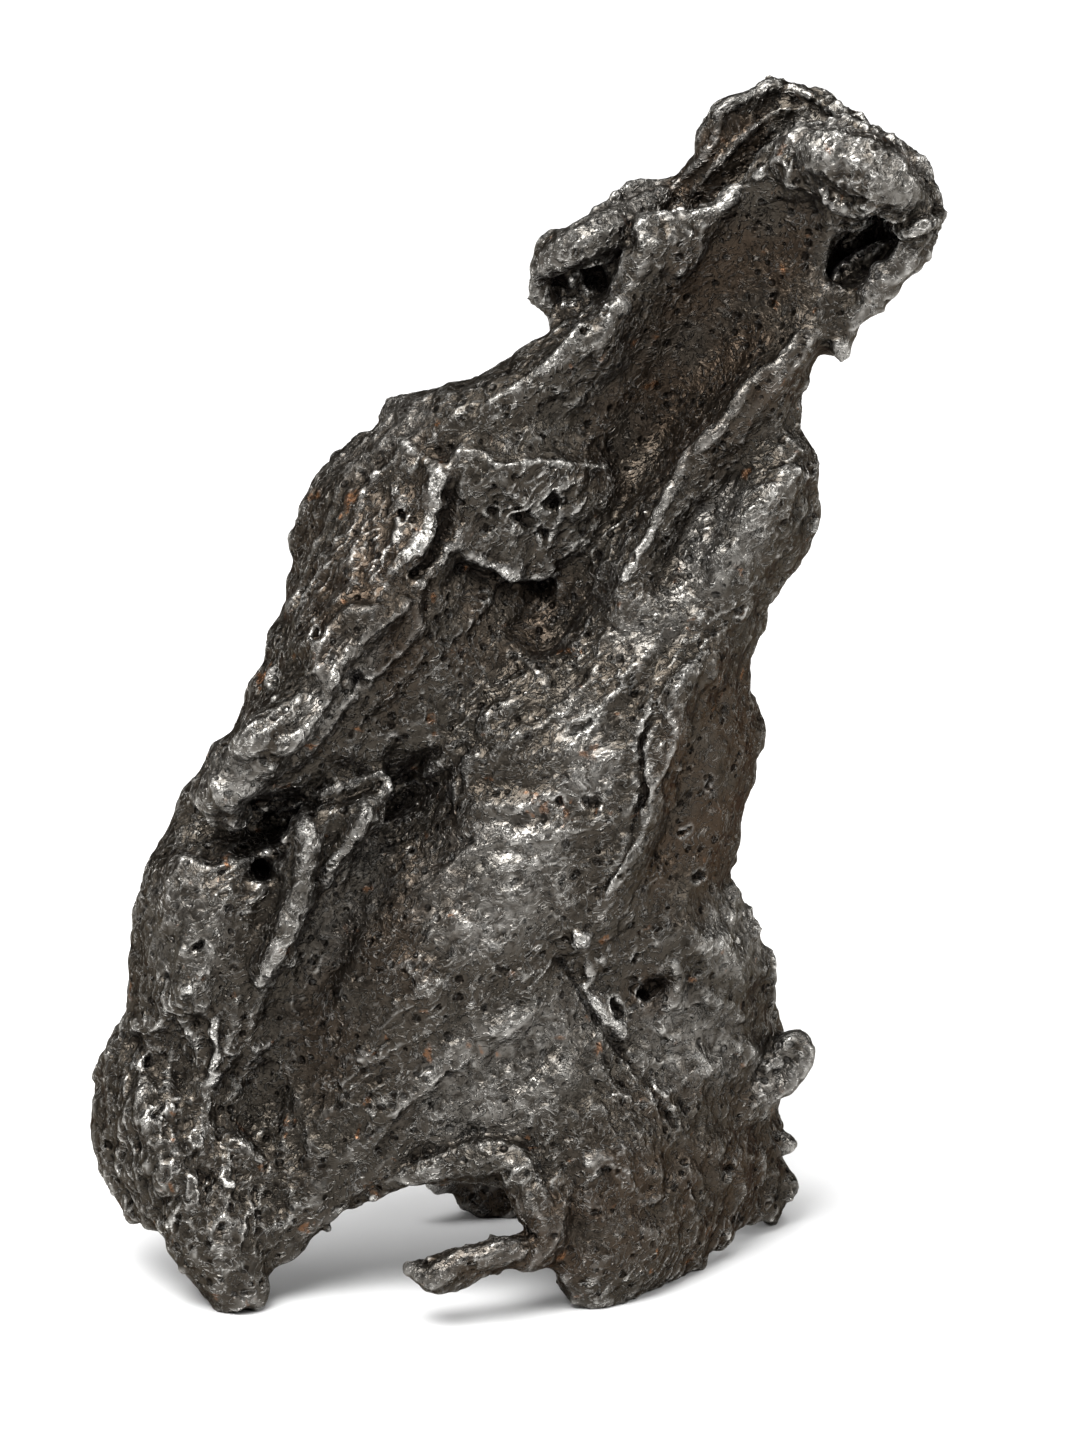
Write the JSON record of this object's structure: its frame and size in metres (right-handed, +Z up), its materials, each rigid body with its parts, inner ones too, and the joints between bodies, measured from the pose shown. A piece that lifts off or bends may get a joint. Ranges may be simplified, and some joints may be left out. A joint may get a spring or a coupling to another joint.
{
  "type": "meteorite",
  "caption": "Torn, twisted plate of nickel-iron with a curled cap, raised ridges and an arched foot, standing upright on its lower edge.",
  "frame": {"origin": "on the ground, under the middle of the box around the fragment", "axes": "+Z up, -Y out of the ridged front face, +X to the right seen from the front"},
  "size_m": [0.085, 0.0422, 0.1191],
  "materials": {
    "nickel_iron": "natural cleaned iron: dark grey-brown in the hollows, bright on ridges and edges"
  },
  "bodies": {
    "root": {"meteorite": "nickel_iron"}
  },
  "joints": []
}
